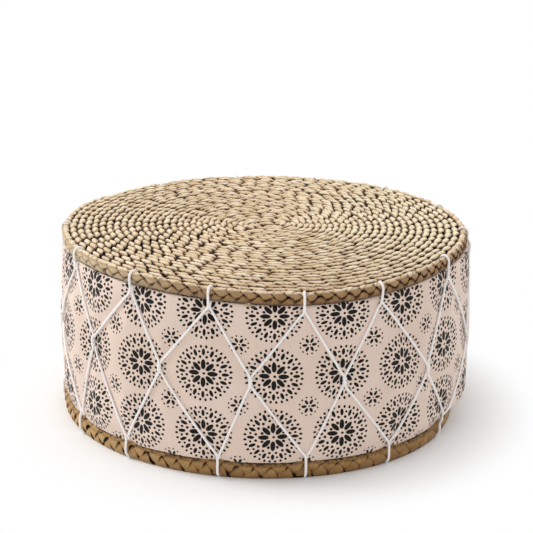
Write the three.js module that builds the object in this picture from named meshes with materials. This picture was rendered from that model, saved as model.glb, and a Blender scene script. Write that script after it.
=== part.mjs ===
// Mudda stool: a low drum between two mats of plant-fibre braid coiled on edge.
// A crossed carcass of cane rods carries the seat, wadding and printed cotton wrap its side,
// and two cotton cords lace the seat rim to the base rim in a lattice of fourteen cells.
// Millimetres, +Z up, origin at the middle of the base on the floor, front towards -Y.
import * as THREE from "three";

// Overall sizes
const stoolHeight = 203;
const seatOuterRadius = 223;
const baseOuterRadius = 221;
const fitGap = 0.3;

// Braid, wound on edge: its height stands upright, its thickness follows from the number of turns
const seatBraidHeight = 16;
const baseBraidHeight = 16;
const turnGap = 1;
const seatTurns = 24;
const baseTurns = 5;
const coilStartRadius = 9;
const loopSteps = 24;
const flatEdgeShare = 0.35;

// Lacing cord
const cordDiameter = 3;
const cordGap = 0.35;
const cordSides = 5;
const laceCells = 14;
const firstLoopAngle = THREE.MathUtils.degToRad(9.5);
const junctionDrop = 7;
const twistHeight = 12;

// The lacing is pulled tight by hand. Each loop and crossing lies this share of a cell off its even
// place round the stool, and each crossing this share of the lattice height above the middle.
const topLoopShares = [0.04, -0.12, -0.08, 0, 0, 0, 0, 0, 0.05, 0.1, 0.15, 0.2, 0.2, 0.09];
const crossingShares = [-0.03, 0.06, 0.15, 0.08, 0.03, 0, 0, 0, 0, 0.03, 0.08, 0.13, 0.07, 0.02];
const bottomLoopShares = [0.09, 0.04, -0.02, 0.04, 0.02, 0, 0, 0, 0.05, 0.12, 0.22, 0.31, 0.14, 0.2];
const crossingLiftShares = [0, -0.06, -0.06, -0.03, 0, 0, 0, 0, 0, 0, 0.04, 0.08, 0.05, 0.02];

// Cotton cover and wadding
const clothThickness = 1;
const rimTuck = 5.5;
const baseTuck = 1;
const bellyRise = 1.5;
const quiltBulge = 3.5;
const padThickness = 13;

// Boards and carcass
const seatBoardThickness = 12;
const baseBoardThickness = 12;
const hoopThickness = 6;
const hoopHeight = 16;
const hoopFacets = 28;
const boardFacets = 48;
const reedDiameter = 9;
const reedSides = 8;
const knotRadius = 4;

// Colours as sRGB hex, with roughness
const colours = {
  seatBraid: 0xdcc49a,
  baseBraid: 0xa8864f,
  cotton: 0xd8c2b2,
  wadding: 0xe9e4da,
  cord: 0xf3f0ee,
  plywood: 0xd9b98a,
  cane: 0xb98f55,
};

const stool = new THREE.Group();

function add(name, geometry, colour, roughness = 0.85) {
  const material = new THREE.MeshStandardMaterial({ color: colour, roughness, metalness: 0 });
  const mesh = new THREE.Mesh(geometry, material);
  mesh.name = name;
  stool.add(mesh);
  return mesh;
}

// Places and widths that follow from the sizes above
const cordRadius = cordDiameter / 2;
const laceCell = (2 * Math.PI) / laceCells;
const laceRoom = cordDiameter + 2 * cordGap;
const laceOffset = cordRadius + cordGap;
const armOffset = laceOffset + cordGap;
const seatUnderside = stoolHeight - seatBraidHeight;
const baseRimUnderside = laceRoom;
const baseRimTop = baseRimUnderside + baseBraidHeight;
const coverTop = seatUnderside - laceRoom;
const coverBottom = baseRimTop + laceRoom;
const laceGapExtra = laceRoom - turnGap;

// A point at an angle from the front, positive towards +X, with a step sideways along the rim
function rimPoint(angle, radius, z, sideways = 0) {
  const x = radius * Math.sin(angle) + sideways * Math.cos(angle);
  const y = -radius * Math.cos(angle) + sideways * Math.sin(angle);
  return new THREE.Vector3(x, y, z);
}

// A path whose sections fall exactly on its listed points
class RoutedPath extends THREE.Curve {
  constructor(points) {
    super();
    this.points = points;
  }

  getPoint(t, target = new THREE.Vector3()) {
    const last = this.points.length - 1;
    const place = Math.min(Math.max(t * last, 0), last);
    const index = Math.min(Math.floor(place), last - 1);
    return target.lerpVectors(this.points[index], this.points[index + 1], place - index);
  }

  getPointAt(u, target) {
    return this.getPoint(u, target);
  }

  getTangentAt(u, target = new THREE.Vector3()) {
    const last = this.points.length - 1;
    const index = Math.round(u * last);
    const before = this.points[Math.max(index - 1, 0)];
    const here = this.points[index];
    const after = this.points[Math.min(index + 1, last)];
    const arriving = here.clone().sub(before).normalize();
    const leaving = after.clone().sub(here).normalize();
    return target.addVectors(arriving, leaving).normalize();
  }
}

function tubeAlong(points, section) {
  return new THREE.ExtrudeGeometry(section, {
    steps: points.length - 1,
    bevelEnabled: false,
    extrudePath: new RoutedPath(points),
  });
}

function roundSection(radius, sides) {
  const section = new THREE.Shape();
  for (let side = 0; side < sides; side++) {
    const turn = (2 * Math.PI * side) / sides;
    const corner = [radius * Math.cos(turn), radius * Math.sin(turn)];
    if (side === 0) section.moveTo(...corner);
    else section.lineTo(...corner);
  }
  section.closePath();
  return section;
}

// Flat top and bottom edges, and sides that swell at half height, as an on-edge braid has
function braidSection(height, thickness) {
  const top = height / 2;
  const flat = thickness * flatEdgeShare;
  const swell = thickness / 2;
  const section = new THREE.Shape();
  section.moveTo(top, flat);
  section.lineTo(0, swell);
  section.lineTo(-top, flat);
  section.lineTo(-top, -flat);
  section.lineTo(0, -swell);
  section.lineTo(top, -flat);
  section.closePath();
  return section;
}

// A mat of braid coiled on edge. The last turn stands off by the width of the lacing cord.
// A steady mat spirals all the way; a stepped one keeps each turn round and shifts in one step.
function planCoil({ turns, braid, startRadius, tailAngle, stepped, lowZ, height, rimLift }) {
  const pitch = braid + turnGap;
  const step = 1 / loopSteps;
  const endTurn = turns - step;
  const riseOf = (share) => (stepped ? Math.max(0, (share - 1 + step) / step) : share);
  const jogOf = (turn) => Math.min(Math.max((turn - (endTurn - 1)) / step, 0), 1);
  const radiusOf = (turn) => {
    const whole = Math.floor(turn + step * step);
    const rise = riseOf(Math.max(turn - whole, 0));
    return startRadius + pitch * (whole + rise) + laceGapExtra * jogOf(turn);
  };
  const angleOf = (turn) => tailAngle + 2 * Math.PI * (endTurn - turn);
  const points = [];
  const count = Math.round(endTurn * loopSteps);
  for (let i = 0; i <= count; i++) {
    const turn = i * step;
    const z = lowZ + height / 2 + rimLift * jogOf(turn);
    points.push(rimPoint(angleOf(turn), radiusOf(turn), z));
  }
  // Between two corners of the faceted turn its side lies a little further in than at them
  const facetShare = (angle) => {
    const facet = 2 * Math.PI * step;
    const along = THREE.MathUtils.euclideanModulo(angle - tailAngle, facet) - facet / 2;
    return Math.cos(facet / 2) / Math.cos(along);
  };
  const rimAt = (angle) => {
    const back = THREE.MathUtils.euclideanModulo(angle - tailAngle, 2 * Math.PI) / (2 * Math.PI);
    const outer = radiusOf(endTurn - back) * facetShare(angle);
    const inner = radiusOf(endTurn - back - 1) * facetShare(angle);
    return { middle: outer, face: outer + braid / 2, gap: (outer + inner) / 2 };
  };
  const geometry = tubeAlong(points, braidSection(height, braid));
  return { points, geometry, rimAt, braid };
}

// The least clear distance between one turn's swollen side and the next, measured on the points
function leastTurnGap(coil) {
  let least = Infinity;
  const { points, braid } = coil;
  const closest = new THREE.Vector3();
  const span = new THREE.Line3();
  for (let i = 0; i < points.length; i++) {
    for (let j = i + loopSteps / 2; j < points.length - 1; j++) {
      span.set(points[j], points[j + 1]).closestPointToPoint(points[i], true, closest);
      least = Math.min(least, closest.distanceTo(points[i]) - braid);
    }
  }
  return least;
}

const jogPlace = (cellsRound) => firstLoopAngle + laceCell * (cellsRound + 1 / 2) + Math.PI / loopSteps;

// Seat mat: a steady spiral whose tail ends behind on the left
const seatSpan = seatOuterRadius + turnGap / 2 - laceGapExtra - coilStartRadius;
const seatBraid = seatSpan / (seatTurns + 1 / 2) - turnGap;
const seatCoil = planCoil({
  turns: seatTurns,
  braid: seatBraid,
  startRadius: coilStartRadius,
  tailAngle: jogPlace(-6),
  stepped: false,
  lowZ: seatUnderside,
  height: seatBraidHeight,
  rimLift: 0,
});
add("seat_coil", seatCoil.geometry, colours.seatBraid);

// Base rim: a few round turns of the same braid. The last is held up by the cord that passes under it.
const basePitch = seatBraid + turnGap;
const baseStartRadius = baseOuterRadius - seatBraid / 2 - laceGapExtra - basePitch * (baseTurns - 1);
const baseCoil = planCoil({
  turns: baseTurns,
  braid: seatBraid,
  startRadius: baseStartRadius,
  tailAngle: jogPlace(6),
  stepped: true,
  lowZ: 0,
  height: baseBraidHeight,
  rimLift: baseRimUnderside,
});
add("base_coil", baseCoil.geometry, colours.baseBraid);

console.log("least gap of seat_coil to itself, mm:", leastTurnGap(seatCoil).toFixed(2));
console.log("least gap of base_coil to itself, mm:", leastTurnGap(baseCoil).toFixed(2));

// Side cover: the valleys lie under the cords, and the cloth bulges between them
const coverTopRadius = seatOuterRadius - rimTuck;
const coverBottomRadius = baseOuterRadius - baseTuck;
const topJunction = coverTop - junctionDrop;
const bottomJunction = coverBottom + junctionDrop;

function valleyRadius(z) {
  const share = (coverTop - z) / (coverTop - coverBottom);
  const straight = THREE.MathUtils.lerp(coverTopRadius, coverBottomRadius, share);
  return straight + bellyRise * (1 - Math.abs(2 * share - 1) ** 3);
}

// A share listed for each cell, read round the stool and between the cells
function shareAt(shares, place) {
  const low = Math.floor(place);
  const here = shares[THREE.MathUtils.euclideanModulo(low, shares.length)];
  const next = shares[THREE.MathUtils.euclideanModulo(low + 1, shares.length)];
  return THREE.MathUtils.lerp(here, next, place - low);
}

// A place in the lattice: the rise is 0 at the bottom junctions, 1/2 at the crossings and 1 at the top.
// The arms between them stay straight.
function lacePlace(cell, rise) {
  const loopShares = rise < 1 / 2 ? bottomLoopShares : topLoopShares;
  const nearLoops = Math.abs(2 * rise - 1);
  const nearCrossings = 1 - nearLoops;
  const loop = Math.round(cell);
  const crossing = Math.floor(cell);
  const middle = crossing + 1 / 2;
  const underLoop = nearLoops === 0 || Math.abs(cell - loop) < nearCrossings / 2;
  const loopPlace = underLoop ? loop : middle + (cell - middle) / nearLoops;
  const crossingPlace = underLoop ? loop + (cell - loop) / nearCrossings - 1 / 2 : crossing;
  const loopShift = shareAt(loopShares, loopPlace);
  const crossingShift = shareAt(crossingShares, crossingPlace);
  const shift = nearLoops * loopShift + nearCrossings * crossingShift;
  const lift = nearCrossings * shareAt(crossingLiftShares, crossingPlace);
  const z = THREE.MathUtils.lerp(bottomJunction, topJunction, rise + lift);
  return { angle: firstLoopAngle + laceCell * (cell + shift), z };
}

// Rows from the bottom edge to the top edge; the shares say how full each quarter cell stands
const coverRows = [
  { rise: 0, edgeZ: coverBottom, bulgeShare: [0, 0.5, 0.7, 0.5] },
  { rise: 0, bulgeShare: [0, 0.7, 1, 0.7] },
  { rise: 1 / 4, bulgeShare: [0.9, 0, 0.8, 0] },
  { rise: 1 / 2, bulgeShare: [1, 0.8, 0, 0.8] },
  { rise: 3 / 4, bulgeShare: [0.9, 0, 0.8, 0] },
  { rise: 1, bulgeShare: [0, 0.7, 1, 0.7] },
  { rise: 1, edgeZ: coverTop, bulgeShare: [0, 0.5, 0.7, 0.5] },
];
const quartersPerCell = 4;
const coverColumns = laceCells * quartersPerCell;
const nodeRow = 3;

// A closed ring: quilted outside, and inside either the same quilting or an even, straight wall
function quiltedRing(rows, outerInset, wallRadius) {
  const loops = rows.map((row) => ({ ...row, outer: true }));
  const inner = rows.map((row) => ({ ...row, outer: false })).reverse();
  const ring = wallRadius ? [inner[0], inner[inner.length - 1]] : inner;
  const profile = [...loops, ...ring];
  const places = [];
  for (let column = 0; column < coverColumns; column++) {
    const evenAngle = firstLoopAngle + (laceCell * column) / quartersPerCell;
    for (const row of profile) {
      const laced = lacePlace(column / quartersPerCell, row.rise);
      const z = row.edgeZ ?? laced.z;
      const quilted = valleyRadius(z) + quiltBulge * row.bulgeShare[column % quartersPerCell];
      const skin = quilted - outerInset;
      if (row.outer) places.push(rimPoint(laced.angle, skin, z));
      else if (wallRadius) places.push(rimPoint(evenAngle, wallRadius, z));
      else places.push(rimPoint(laced.angle, skin - clothThickness, z));
    }
  }
  const corners = [];
  const at = (column, row) => (column % coverColumns) * profile.length + (row % profile.length);
  for (let column = 0; column < coverColumns; column++) {
    for (let row = 0; row < profile.length; row++) {
      const low = at(column, row);
      const high = at(column, row + 1);
      const nextLow = at(column + 1, row);
      const nextHigh = at(column + 1, row + 1);
      if (creaseRises(column, row, rows.length)) corners.push(low, nextLow, nextHigh, low, nextHigh, high);
      else corners.push(low, nextLow, high, nextLow, nextHigh, high);
    }
  }
  const geometry = new THREE.BufferGeometry().setFromPoints(places);
  geometry.setIndex(corners);
  return geometry;
}

// Each face is split along the line that a cord takes over it
function creaseRises(column, row, rowCount) {
  const firstHalfOfCell = column % quartersPerCell < quartersPerCell / 2;
  const onOuterSide = row < rowCount - 1;
  const height = onOuterSide ? row : 2 * (rowCount - 1) - row;
  const belowNode = height < nodeRow;
  return onOuterSide ? firstHalfOfCell === belowNode : firstHalfOfCell !== belowNode;
}

add("side_cover", quiltedRing(coverRows, 0, null), colours.cotton);

// Wadding under the cover, up to the row of junctions, which leaves room for the knots above it.
// Its inner wall is straight and stands on the outer hoops.
const padOuterInset = clothThickness + fitGap;
const padInnerRadius = Math.min(coverTopRadius, coverBottomRadius) - padOuterInset - padThickness;
const padRows = coverRows.slice(0, -1);
add("side_pad", quiltedRing(padRows, padOuterInset, padInnerRadius), colours.wadding);

// The cords pass behind the last turn of a coil, and the boards end short of them
function leastGapRadius(coil, rise) {
  let least = Infinity;
  for (let cell = 0; cell < laceCells; cell++) {
    least = Math.min(least, coil.rimAt(lacePlace(cell, rise).angle).gap);
  }
  return least - laceOffset - fitGap;
}

// Boards: the seat board lies under the seat coil, the base board on the base coil
function board(radius, lowZ, thickness) {
  const corners = [[0, 0], [radius, 0], [radius, thickness], [0, thickness]];
  const profile = corners.map(([r, z]) => new THREE.Vector2(r, lowZ + z));
  return new THREE.LatheGeometry(profile, boardFacets).rotateX(Math.PI / 2);
}

const carcassRadius = padInnerRadius * Math.cos(Math.PI / coverColumns) - fitGap;
const boardRadius = Math.min(carcassRadius, leastGapRadius(seatCoil, 1), leastGapRadius(baseCoil, 0));
const seatBoardLow = seatUnderside - fitGap - seatBoardThickness;
const baseBoardLow = baseBraidHeight + fitGap;
const baseBoardTop = baseBoardLow + baseBoardThickness;
add("seat_board", board(boardRadius, seatBoardLow, seatBoardThickness), colours.plywood, 0.7);
add("base_board", board(boardRadius, baseBoardLow, baseBoardThickness), colours.plywood, 0.7);

// Hoops: pairs of split cane hoops hold the ends of the rods between them
function hoop(outerCornerRadius, lowZ) {
  const innerCornerRadius = outerCornerRadius - hoopThickness;
  const highZ = lowZ + hoopHeight;
  const corners = [
    [innerCornerRadius, lowZ],
    [outerCornerRadius, lowZ],
    [outerCornerRadius, highZ],
    [innerCornerRadius, highZ],
    [innerCornerRadius, lowZ],
  ];
  const profile = corners.map(([r, z]) => new THREE.Vector2(r, z));
  return new THREE.LatheGeometry(profile, hoopFacets).rotateX(Math.PI / 2);
}

const hoopFacetShare = Math.cos(Math.PI / hoopFacets);
const reedRadius = reedDiameter / 2;
const reedLayerPitch = reedDiameter + 2 * fitGap;
const outerReedRadius = (carcassRadius - hoopThickness) * hoopFacetShare - fitGap - reedRadius;
const innerReedRadius = outerReedRadius - reedLayerPitch;
const reedRoomTop = seatBoardLow - fitGap;
const reedRoomBottom = baseBoardTop + fitGap;

// A leaning rod runs straight, so between its ends it lies nearer the middle of the stool
function chordRadius(endRadius, share) {
  return endRadius * Math.sqrt(1 - 2 * share * (1 - share) * (1 - Math.cos(laceCell)));
}

const hoopShare = (hoopHeight + reedRadius) / (reedRoomTop - reedRoomBottom);
const innerHoopRadius = chordRadius(innerReedRadius, hoopShare) - reedRadius - fitGap;
const topHoopLow = reedRoomTop - hoopHeight;
add("top_outer_hoop", hoop(carcassRadius, topHoopLow), colours.cane, 0.6);
add("top_inner_hoop", hoop(innerHoopRadius, topHoopLow), colours.cane, 0.6);
add("bottom_outer_hoop", hoop(carcassRadius, reedRoomBottom), colours.cane, 0.6);
add("bottom_inner_hoop", hoop(innerHoopRadius, reedRoomBottom), colours.cane, 0.6);

// Cane rods: the outer layer leans one way, the inner layer the other, one of each to a lacing cell
function reed(name, endRadius, angle, lean) {
  const sweep = 2 * endRadius * Math.sin(laceCell / 2);
  const rise = reedRoomTop - reedRoomBottom;
  const tilt = Math.atan2(sweep, rise);
  const endInset = reedRadius * Math.sin(tilt);
  const low = rimPoint(angle, endRadius, reedRoomBottom);
  const high = rimPoint(angle + lean * laceCell, endRadius, reedRoomTop);
  const axis = high.clone().sub(low);
  const length = axis.length() - (2 * endInset) / Math.cos(tilt);
  const shape = new THREE.CylinderGeometry(reedRadius, reedRadius, length, reedSides);
  const rod = add(name, shape, colours.cane, 0.6);
  rod.position.addVectors(low, high).multiplyScalar(1 / 2);
  rod.quaternion.setFromUnitVectors(new THREE.Vector3(0, 1, 0), axis.normalize());
}

for (let cell = 0; cell < laceCells; cell++) {
  const number = String(cell + 1).padStart(2, "0");
  const angle = firstLoopAngle + laceCell * cell;
  reed("outer_reed_" + number, outerReedRadius, angle, 1);
  reed("inner_reed_" + number, innerReedRadius, angle, -1);
}

// One turn of cord round a rim: up the outer face, over its free edge, back through the gap
// behind the last turn of braid and out between the braid and the cover
function rimLoop(cell, atTop) {
  const coil = atTop ? seatCoil : baseCoil;
  const edgeZ = atTop ? stoolHeight : baseRimUnderside;
  const innerZ = atTop ? seatUnderside : baseRimTop;
  const outward = atTop ? 1 : -1;
  const edgeRadius = atTop ? coverTopRadius : coverBottomRadius;
  const junctionZ = atTop ? topJunction : bottomJunction;
  const { angle } = lacePlace(cell, atTop ? 1 : 0);
  const rim = coil.rimAt(angle);
  const face = rim.face + laceOffset;
  const reach = Math.max(face, edgeRadius + armOffset);
  const corner = coil.braid * flatEdgeShare + laceOffset - cordGap;
  const throat = innerZ - outward * laceOffset;
  const bend = outward * cordGap;
  const side = laceOffset;
  const junctionRadius = valleyRadius(junctionZ) + armOffset;
  const arriving = [
    rimPoint(angle, junctionRadius, junctionZ, -side),
    rimPoint(angle, reach, throat, -side),
    rimPoint(angle, face, innerZ + outward * cordDiameter, -side),
    rimPoint(angle, face, edgeZ - bend, -side),
    rimPoint(angle, rim.middle + corner, edgeZ + outward * laceOffset, -side),
    rimPoint(angle, rim.middle - corner, edgeZ + outward * laceOffset, side),
    rimPoint(angle, rim.gap, edgeZ - bend, side),
  ];
  const leaving = [
    rimPoint(angle, reach, throat, side),
    rimPoint(angle, junctionRadius, junctionZ, side),
  ];
  const throughGap = [
    rimPoint(angle, rim.gap, innerZ + bend, side),
    rimPoint(angle, rim.middle - corner, throat, side),
  ];
  return { arriving, throughGap, leaving, angle, gapRadius: rim.gap, throat, side };
}

// The half twist halfway up: the falling strand passes in front, the rising one behind
const twistSteps = 4;

function twist(cell, falling) {
  const crossing = lacePlace(cell + 1 / 2, 1 / 2);
  const middleRadius = valleyRadius(crossing.z) + 2 * laceOffset;
  const front = falling ? 1 : -1;
  const points = [];
  for (let i = 0; i <= twistSteps; i++) {
    const turn = (Math.PI * i) / twistSteps;
    const sideways = -laceOffset * Math.cos(turn);
    const radius = middleRadius + front * laceOffset * Math.sin(turn);
    const z = crossing.z + front * twistHeight * (1 / 2 - i / twistSteps);
    points.push(rimPoint(crossing.angle, radius, z, sideways));
  }
  return points;
}

function armPoint(quarters, upper) {
  const { angle, z } = lacePlace(quarters / quartersPerCell, upper ? 3 / 4 : 1 / 4);
  return rimPoint(angle, valleyRadius(z) + armOffset, z);
}

// From one rim loop to the next: an arm, the twist and another arm
function strand(cell, falling) {
  const firstArm = armPoint(quartersPerCell * cell + 1, falling);
  const secondArm = armPoint(quartersPerCell * cell + 3, !falling);
  return [firstArm, ...twist(cell, falling), secondArm];
}

// One cord runs right round the stool and both its ends go into a knot under the seat rim
function lacingCord(letter, knotCell) {
  const start = rimLoop(knotCell, true);
  const knotPlace = Math.max(start.gapRadius + knotRadius / 2, boardRadius + fitGap + knotRadius);
  const knotZ = seatUnderside - cordGap - knotRadius - fitGap;
  const firstEnd = rimPoint(start.angle, knotPlace + knotRadius + fitGap, start.throat, start.side);
  const points = [firstEnd, ...start.leaving];
  for (let step = 0; step < laceCells; step++) {
    const falling = step % 2 === 0;
    const cell = knotCell + step;
    points.push(...strand(cell, falling));
    const loop = rimLoop(cell + 1, !falling);
    points.push(...loop.arriving);
    if (step < laceCells - 1) points.push(...loop.throughGap, ...loop.leaving);
  }
  points.push(rimPoint(start.angle, start.gapRadius, knotZ + knotRadius + fitGap, start.side));
  add("lacing_cord_" + letter, tubeAlong(points, roundSection(cordRadius, cordSides)), colours.cord, 0.9);
  const knot = add("lacing_knot_" + letter, new THREE.SphereGeometry(knotRadius, 8, 6), colours.cord, 0.9);
  knot.position.copy(rimPoint(start.angle, knotPlace, knotZ, start.side));
}

lacingCord("a", 6);
lacingCord("b", 7);

export default stool;
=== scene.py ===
import bmesh
import bpy
import math
import numpy as np
from functools import partial
from mathutils import Matrix, Vector
from types import SimpleNamespace


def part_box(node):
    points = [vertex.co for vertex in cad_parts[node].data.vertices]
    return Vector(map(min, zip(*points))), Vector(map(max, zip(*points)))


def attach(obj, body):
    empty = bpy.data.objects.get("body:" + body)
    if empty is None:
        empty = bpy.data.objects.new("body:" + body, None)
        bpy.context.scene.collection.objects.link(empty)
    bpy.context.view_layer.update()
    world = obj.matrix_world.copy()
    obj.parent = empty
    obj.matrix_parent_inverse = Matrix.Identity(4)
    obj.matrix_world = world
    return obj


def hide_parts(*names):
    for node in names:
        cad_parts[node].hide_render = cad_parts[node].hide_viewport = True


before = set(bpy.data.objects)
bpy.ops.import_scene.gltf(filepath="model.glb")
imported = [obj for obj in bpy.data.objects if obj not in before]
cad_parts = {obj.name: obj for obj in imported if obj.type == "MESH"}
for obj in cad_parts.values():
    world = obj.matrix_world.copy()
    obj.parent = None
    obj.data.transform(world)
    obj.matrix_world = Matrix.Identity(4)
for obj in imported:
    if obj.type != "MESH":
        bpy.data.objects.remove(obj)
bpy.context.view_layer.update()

MM = 0.001
TURN = 2 * math.pi

# Overall sizes, the same as the solids have
STOOL_HEIGHT = 203 * MM
SEAT_OUTER = 223 * MM
BASE_OUTER = 221 * MM
BRAID_HEIGHT = 16 * MM
SEAT_UNDERSIDE = STOOL_HEIGHT - BRAID_HEIGHT
CORD = 3 * MM
LACE_ROOM = 3.7 * MM
LACE_CELLS = 14
LACE_CELL = TURN / LACE_CELLS
FIRST_LOOP = math.radians(9.5)
TOP_JUNCTION = 180 * MM
BOTTOM_JUNCTION = 24 * MM
LATTICE_HEIGHT = TOP_JUNCTION - BOTTOM_JUNCTION
TWIST_HEIGHT = 12 * MM

# How far each loop and crossing of the lacing lies off its even place: sideways in cells, and up as a
# share of the lattice height
TOP_LOOP_SHIFT = [0.04, -0.12, -0.08, 0, 0, 0, 0, 0, 0.05, 0.1, 0.15, 0.2, 0.2, 0.09]
CROSSING_SHIFT = [-0.03, 0.06, 0.15, 0.08, 0.03, 0, 0, 0, 0, 0.03, 0.08, 0.13, 0.07, 0.02]
BOTTOM_LOOP_SHIFT = [0.09, 0.04, -0.02, 0.04, 0.02, 0, 0, 0, 0.05, 0.12, 0.22, 0.31, 0.14, 0.2]
CROSSING_LIFT = [0, -0.06, -0.06, -0.03, 0, 0, 0, 0, 0, 0, 0.04, 0.08, 0.05, 0.02]

# The mat isn't flat: millimetres that the top and the foot of its rim lie above their level, every 30
# degrees from the front round by +X. It also sits a little towards +X, where the drum bulges.
RIM_TOP_LIFT = [-5.8, -5.8, 1.9, 3, 3, 2.5, 2, 1.5, 1, 0.6, 0.5, -1.5]
RIM_FOOT_LIFT = [-3.2, -3, 4, 4, 3, 2, 1.5, 1.5, 2, 3, 3.2, 0.8]
MAT_SHIFT = 2.3 * MM
# Painted light: the leaf is made paler where more light falls, on the mat's +X side, a little on its -X side,
# and on the rim's -X side: shares, every 30 degrees too
PALE_MAT = [0, 0.4, 1.2, 1.6, 1.4, 0.7, 0.2, 0.1, 0.3, 0.45, 0.4, 0.1]
PALE_RIM = [0, 0, 0, 0, 0.2, 0.4, 0.4, 0.5, 0.6, 0.7, 0.75, 0.35]
# The mat is plaited more loosely on its -X side, with more open notches between the beads
LOOSE_MAT = [0.1, 0, 0, 0, 0, 0.05, 0.4, 0.9, 1.15, 1.15, 0.85, 0.35]
# The base braid is turned a little on its side, so that one row of leaves shows most, except on the left
LEAN_BASE = [0.7, 1, 1, 1, 1, 0.7, 0.5, 0.3, 0.1, 0, 0, 0.2]

# Both coils end at the back, a little past the middle between two cords
PAST_MIDDLE = TURN / 48
SEAT_TAIL = FIRST_LOOP - 5.5 * LACE_CELL + PAST_MIDDLE
BASE_TAIL = FIRST_LOOP + 6.5 * LACE_CELL + PAST_MIDDLE
DRUM_RADIUS = 221 * MM

# Seat braid: 28.4 turns of a three-strand braid, its weave repeats every 52 mm, and on the rim every 44
SEAT_PITCH = 7.65 * MM
SEAT_STANDOFF = 1.5 * MM
SEAT_RIM_MIDDLE = SEAT_OUTER - 0.4 * MM - SEAT_PITCH / 2

# Base braid: coarser, five turns. The last one is its rim, which stands on the floor between the cords
BASE_PITCH = 8.645 * MM
BASE_TURNS = 5
BASE_BRAID_HEIGHT = 19 * MM
BASE_INNER_HEIGHT = 15.2 * MM
BASE_RIM_MIDDLE = BASE_OUTER - 3.9 * MM
# The last turn keeps this much room behind it for the cords
BASE_STANDOFF = 2.7 * MM
# From the last turn's middle out to its face
BASE_HALF_THICKNESS = 4.1 * MM
# How far the base is drawn in on the +X side, under the drum's bulge
BASE_DRAWN_IN = 8 * MM

# Both braids: the last turn is the rim, with a weave of its own that begins on a short stretch before it
LAST_TURN = TURN * 215 * MM
CHANGE_OVER = 30 * MM
RIM_STEP = 0.9 * MM
BRAID_THICKNESS = 7.6 * MM
# Each turn of a coil's route has this many steps
ROUTE_STEPS = 240
# The mark below_crest counts this depth as 1
FULL_DEPTH = 20 * MM
UP = np.array([0.0, 0.0, 1.0])
# What touches the floor stays this much above it
FLOOR_GAP = 0.1 * MM


# ---- geometry helpers ----


def rim_point(angle, radius, z, sideways=0.0):
    """A point at an angle from the front, positive towards +X, with a step sideways along the rim."""
    angle, radius, z, sideways = np.broadcast_arrays(angle, radius, z, sideways)
    x = radius * np.sin(angle) + sideways * np.cos(angle)
    y = -radius * np.cos(angle) + sideways * np.sin(angle)
    return np.stack([x, y, z], axis=-1)


def around(values, angle):
    """A smooth curve round the stool, close to evenly spaced values, the first one at the front."""
    waves = np.fft.rfft(values) / len(values)
    total = waves[0].real + 0 * angle
    for k in range(1, len(waves) - 1):
        total = total + 2 * (waves[k] * np.exp(1j * k * angle)).real
    return total


def between(first, last, share):
    """The value that lies a share of the way from first to last."""
    return first + (last - first) * share


def hump(distance, width):
    """1 at no distance, falling off smoothly to both sides."""
    return np.exp(-((distance / width) ** 2))


def near_right(angle):
    """1 on the +X side, falling off to both sides over about 0.6 radians."""
    return hump((angle - TURN / 4 + TURN / 2) % TURN - TURN / 2, 0.6)


def seat_top_at(angle):
    return STOOL_HEIGHT + around(RIM_TOP_LIFT, angle) * MM


def seat_foot_at(angle):
    return SEAT_UNDERSIDE + around(RIM_FOOT_LIFT, angle) * MM


def lace_place(cell, rise):
    """Angle and height of a place in the lattice. rise is 0 at the bottom junctions, 0.5 at the
    crossings and 1 at the top junctions; the arms between them stay straight."""
    cell, rise = np.broadcast_arrays(np.asarray(cell, float), np.asarray(rise, float))
    near_loops = np.clip(np.abs(2 * rise - 1), 1e-9, 1)
    near_crossings = 1 - near_loops
    loop, crossing = np.rint(cell), np.floor(cell)
    under_loop = np.abs(cell - loop) < near_crossings / 2
    loop_place = np.where(under_loop, loop, crossing + 0.5 + (cell - crossing - 0.5) / near_loops)
    along = loop + (cell - loop) / np.maximum(near_crossings, 1e-9) - 0.5
    crossing_place = np.where(under_loop, along, crossing)

    def share_at(shares, place):
        return np.interp(place % LACE_CELLS, range(LACE_CELLS + 1), [*shares, shares[0]])

    bottom, top = [share_at(shares, loop_place) for shares in (BOTTOM_LOOP_SHIFT, TOP_LOOP_SHIFT)]
    loop_shift = np.where(rise < 0.5, bottom, top)
    shift = near_loops * loop_shift + near_crossings * share_at(CROSSING_SHIFT, crossing_place)
    lift = near_crossings * share_at(CROSSING_LIFT, crossing_place)
    angle = FIRST_LOOP + LACE_CELL * (cell + shift)
    # The top junctions follow the foot of the rim
    follow = 0.85 * MM * near_loops * (rise > 0.5) * around(RIM_FOOT_LIFT, angle)
    return angle, BOTTOM_JUNCTION + LATTICE_HEIGHT * (rise + lift) + follow


def lattice_at(angle, z):
    """The cell and rise of a place on the drum: lace_place the other way round."""
    angle, z = np.broadcast_arrays(angle, z)
    cell = (angle - FIRST_LOOP) / LACE_CELL
    rise = (z - BOTTOM_JUNCTION) / LATTICE_HEIGHT
    for _ in range(6):
        angle_here, z_here = lace_place(cell, rise)
        cell = cell + (angle - angle_here) / LACE_CELL
        rise = rise + (z - z_here) / LATTICE_HEIGHT
    return cell, rise


def to_nearest_loop(angle, junction_z):
    """Signed angle from the nearest place where a cord goes round the rim."""
    cell = lattice_at(angle, junction_z)[0]
    return (cell - np.rint(cell)) * LACE_CELL


def lengths_along(points):
    """How far along a line of points each of them lies."""
    steps = np.linalg.norm(np.diff(points, axis=0), axis=1)
    return np.concatenate([[0.0], np.cumsum(steps)])


def points_at(marks, s, points):
    """The places at the given lengths along a line of points, whose own lengths are s."""
    return np.stack([np.interp(marks, s, points[:, k]) for k in range(3)], axis=1)


def unit(vectors):
    return vectors / np.linalg.norm(vectors, axis=-1, keepdims=True)


def new_object(name, data):
    """Puts a mesh, curve, lamp or camera into the scene."""
    made = bpy.data.objects.new(name, data)
    bpy.context.scene.collection.objects.link(made)
    return made


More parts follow.
